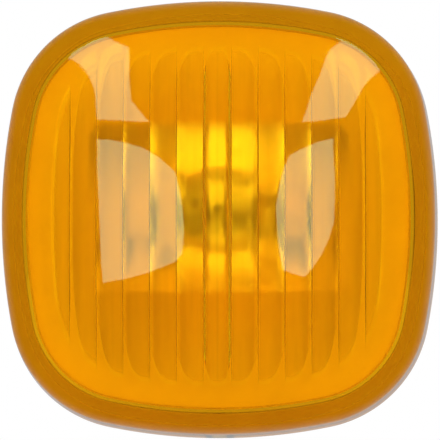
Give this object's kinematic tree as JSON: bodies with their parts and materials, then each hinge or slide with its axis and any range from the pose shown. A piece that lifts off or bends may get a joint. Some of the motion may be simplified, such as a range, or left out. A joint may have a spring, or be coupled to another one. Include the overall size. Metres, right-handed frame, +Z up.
{
  "type": "vehicle side indicator lamp",
  "caption": "Squarish amber side indicator lamp with a fluted pillow lens, clip-in housing, panel gasket and a twist-in wedge bulb holder.",
  "frame": {"origin": "centre of the lens outline on the panel's face, which is the gasket's seat", "axes": "+Y into the vehicle, along the lamp's axis from the lens to the bulb holder; +Z up; +X to the right as seen from outside"},
  "size_m": [0.054, 0.0471, 0.0541],
  "materials": {
    "amber_lens": "clear amber acrylic, polished outside and fluted inside",
    "white_plastic": "moulded white plastic, satin",
    "seal_rubber": "soft black rubber, matt",
    "seal_silicone": "soft natural white silicone rubber, matt",
    "spring_steel": "zinc-plated spring strip",
    "holder_plastic": "natural light grey moulded plastic",
    "contact_brass": "stamped brass strip",
    "bulb_glass": "clear blown glass",
    "tungsten": "drawn tungsten coil",
    "plated_wire": "bright plated lead wire"
  },
  "bodies": {
    "lamp": {"lens": "amber_lens", "housing": "white_plastic", "panel_gasket": "seal_rubber", "retaining_spring": "spring_steel"},
    "holder": {"bulb_holder": "holder_plastic", "holder_seal": "seal_silicone", "contact_left": "contact_brass", "contact_right": "contact_brass", "bulb_glass": "bulb_glass", "filament": "tungsten", "lead_wire_left": "plated_wire", "lead_wire_right": "plated_wire"}
  },
  "joints": [
    {"name": "holder_twist", "type": "hinge", "parent": "lamp", "child": "holder", "pos_m": [0, 0.014, 0.0012], "axis": [0, 1, 0], "range_deg": [0, 40]}
  ]
}
